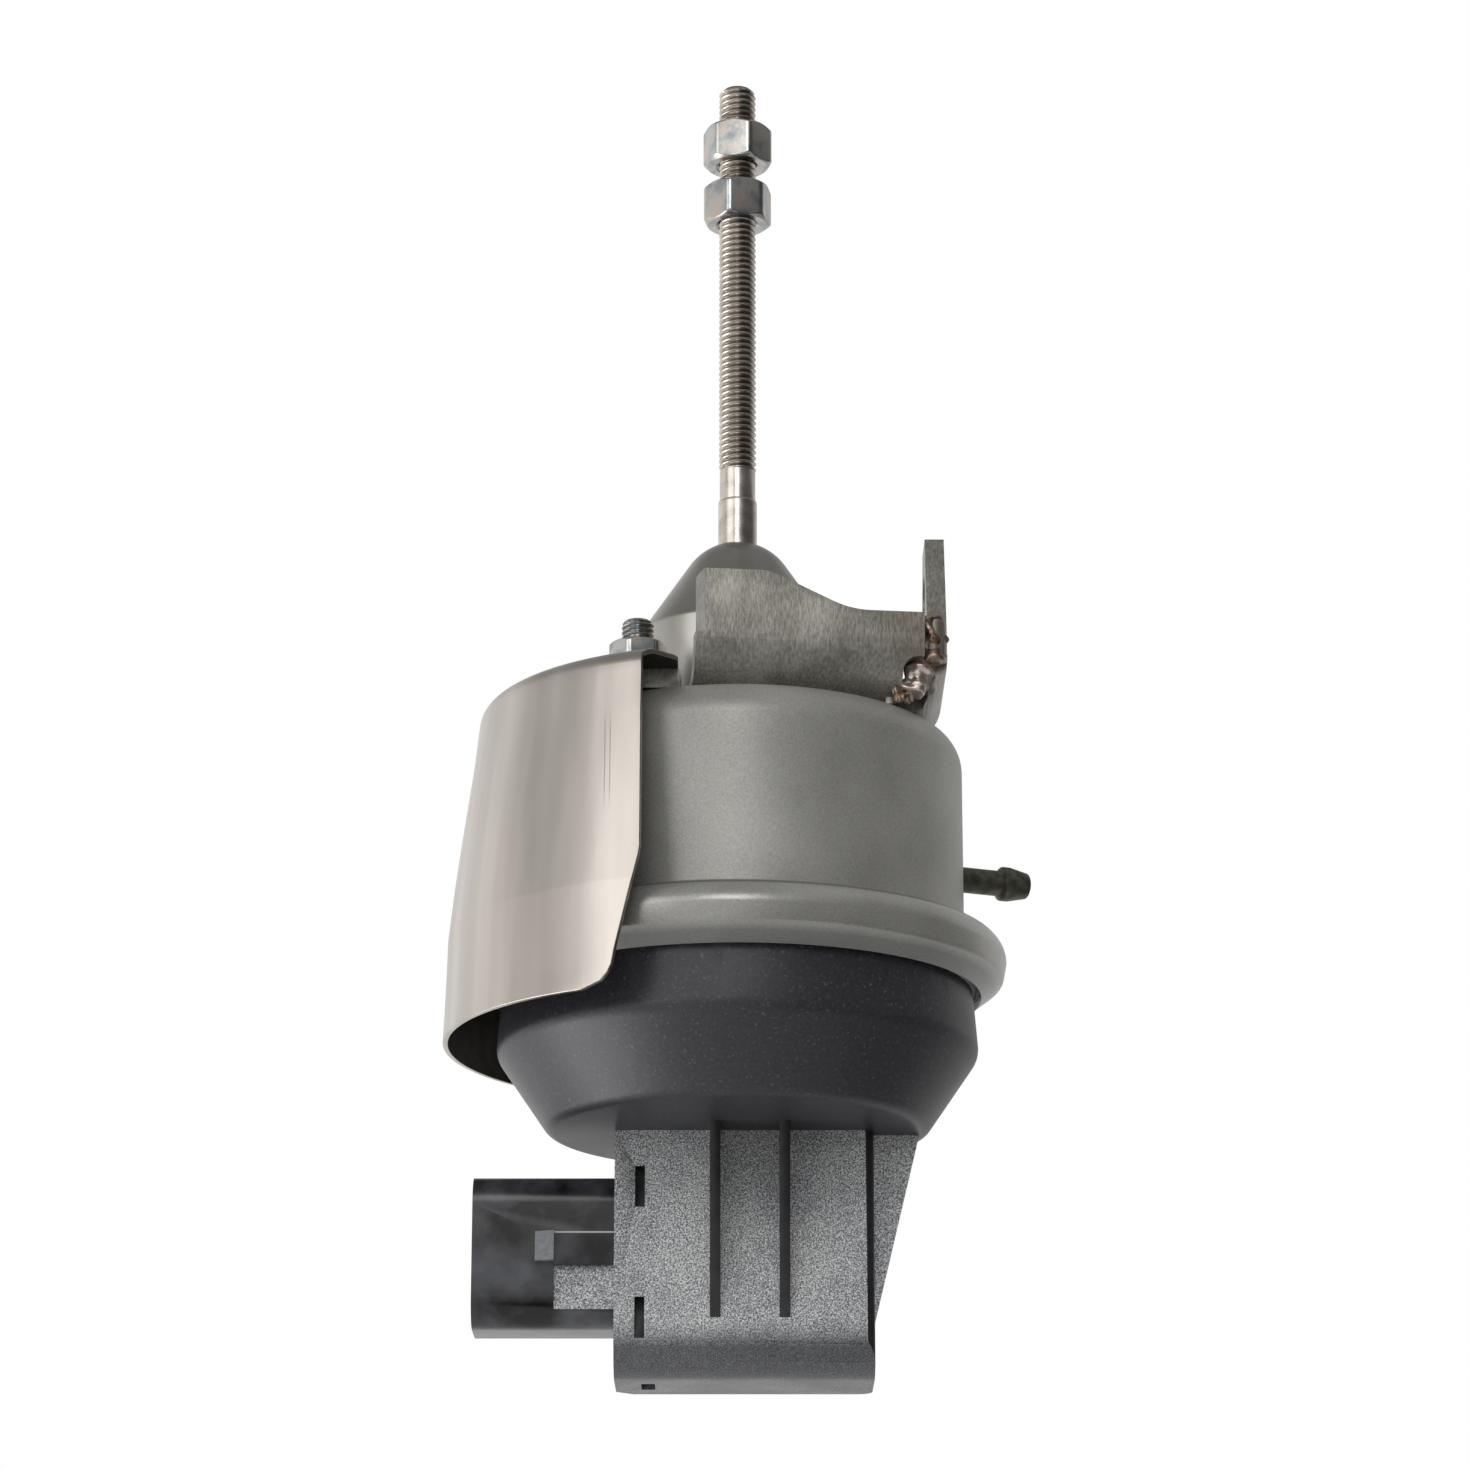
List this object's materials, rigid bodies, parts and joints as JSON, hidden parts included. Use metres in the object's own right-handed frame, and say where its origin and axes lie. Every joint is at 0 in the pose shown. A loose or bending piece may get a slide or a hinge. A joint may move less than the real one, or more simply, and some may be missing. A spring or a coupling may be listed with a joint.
{
  "type": "wastegate actuator",
  "caption": "Vacuum wastegate actuator: round can with heat shield and folded bracket, threaded push rod with nuts, plastic position-sensor base with side socket.",
  "frame": {"origin": "on the push rod's axis, in the plane of the can's flat top face", "axes": "+Z along the push rod to its threaded tip; +Y away from the front wall of the bracket; +X towards the bracket's ear, with the electrical socket at -X"},
  "size_m": [0.0927, 0.0841, 0.2123],
  "materials": {
    "can_steel": "satin drawn steel with a fine speckle",
    "shield_steel": "bright soft stainless sheet",
    "dome_steel": "satin polished pressed steel",
    "bracket_steel": "raw steel with upright grain and a brown heat tint at the weld",
    "rod_steel": "bright rolled thread",
    "zinc": "bright zinc plate",
    "nipple_steel": "dark olive plated steel",
    "housing_plastic": "charcoal glass-filled plastic",
    "rubber": "black moulded rubber",
    "spring_steel": "oiled spring wire",
    "bush_bronze": "sintered bronze",
    "slider_plastic": "natural white plastic",
    "magnet": "dull sintered magnet",
    "board": "green circuit board",
    "chip": "black chip package",
    "pin_brass": "tinned brass"
  },
  "bodies": {
    "housing": {"canister": "can_steel", "sensor_housing": "housing_plastic", "housing_lid": "housing_plastic", "terminal_upper": "pin_brass", "terminal_middle": "pin_brass", "terminal_lower": "pin_brass", "circuit_board": "board", "hall_sensor": "chip", "diaphragm": "rubber", "main_spring": "spring_steel", "return_spring": "spring_steel", "spring_seat": "spring_steel", "dome": "dome_steel", "guide_bush": "bush_bronze", "rod_seal": "rubber", "stud_front": "zinc", "stud_rear": "zinc", "washer_front": "zinc", "washer_rear": "zinc", "stud_nut_front": "zinc", "stud_nut_rear": "zinc", "bracket": "bracket_steel", "heat_shield": "shield_steel", "vacuum_nipple": "nipple_steel"},
    "rod": {"push_rod": "rod_steel", "piston": "spring_steel", "backing_plate": "spring_steel", "clamp_nut": "zinc"},
    "carrier": {"magnet_carrier": "slider_plastic", "magnet": "magnet"},
    "nut_adjusting": {"adjusting_nut": "zinc"},
    "nut_lock": {"lock_nut": "zinc"}
  },
  "joints": [
    {"name": "rod_slide", "type": "slide", "parent": "housing", "child": "rod", "axis": [0, 0, 1], "range_m": [0, 0.011], "stiffness_N_per_m": 1500, "springref_m": -0.018, "deforming": ["main_spring", "diaphragm"]},
    {"name": "carrier_slide", "type": "slide", "parent": "housing", "child": "carrier", "axis": [0, 0, 1], "range_m": [0, 0.011], "deforming": ["return_spring"]},
    {"name": "adjusting_nut_turn", "type": "hinge", "parent": "rod", "child": "nut_adjusting", "pos_m": [0, 0, 0.091], "axis": [0, 0, 1], "continuous": true},
    {"name": "lock_nut_turn", "type": "hinge", "parent": "rod", "child": "nut_lock", "pos_m": [0, 0, 0.1013], "axis": [0, 0, 1], "continuous": true}
  ],
  "couplings": [
    {"joint": "carrier_slide", "follows": "rod_slide", "ratio": 1}
  ]
}
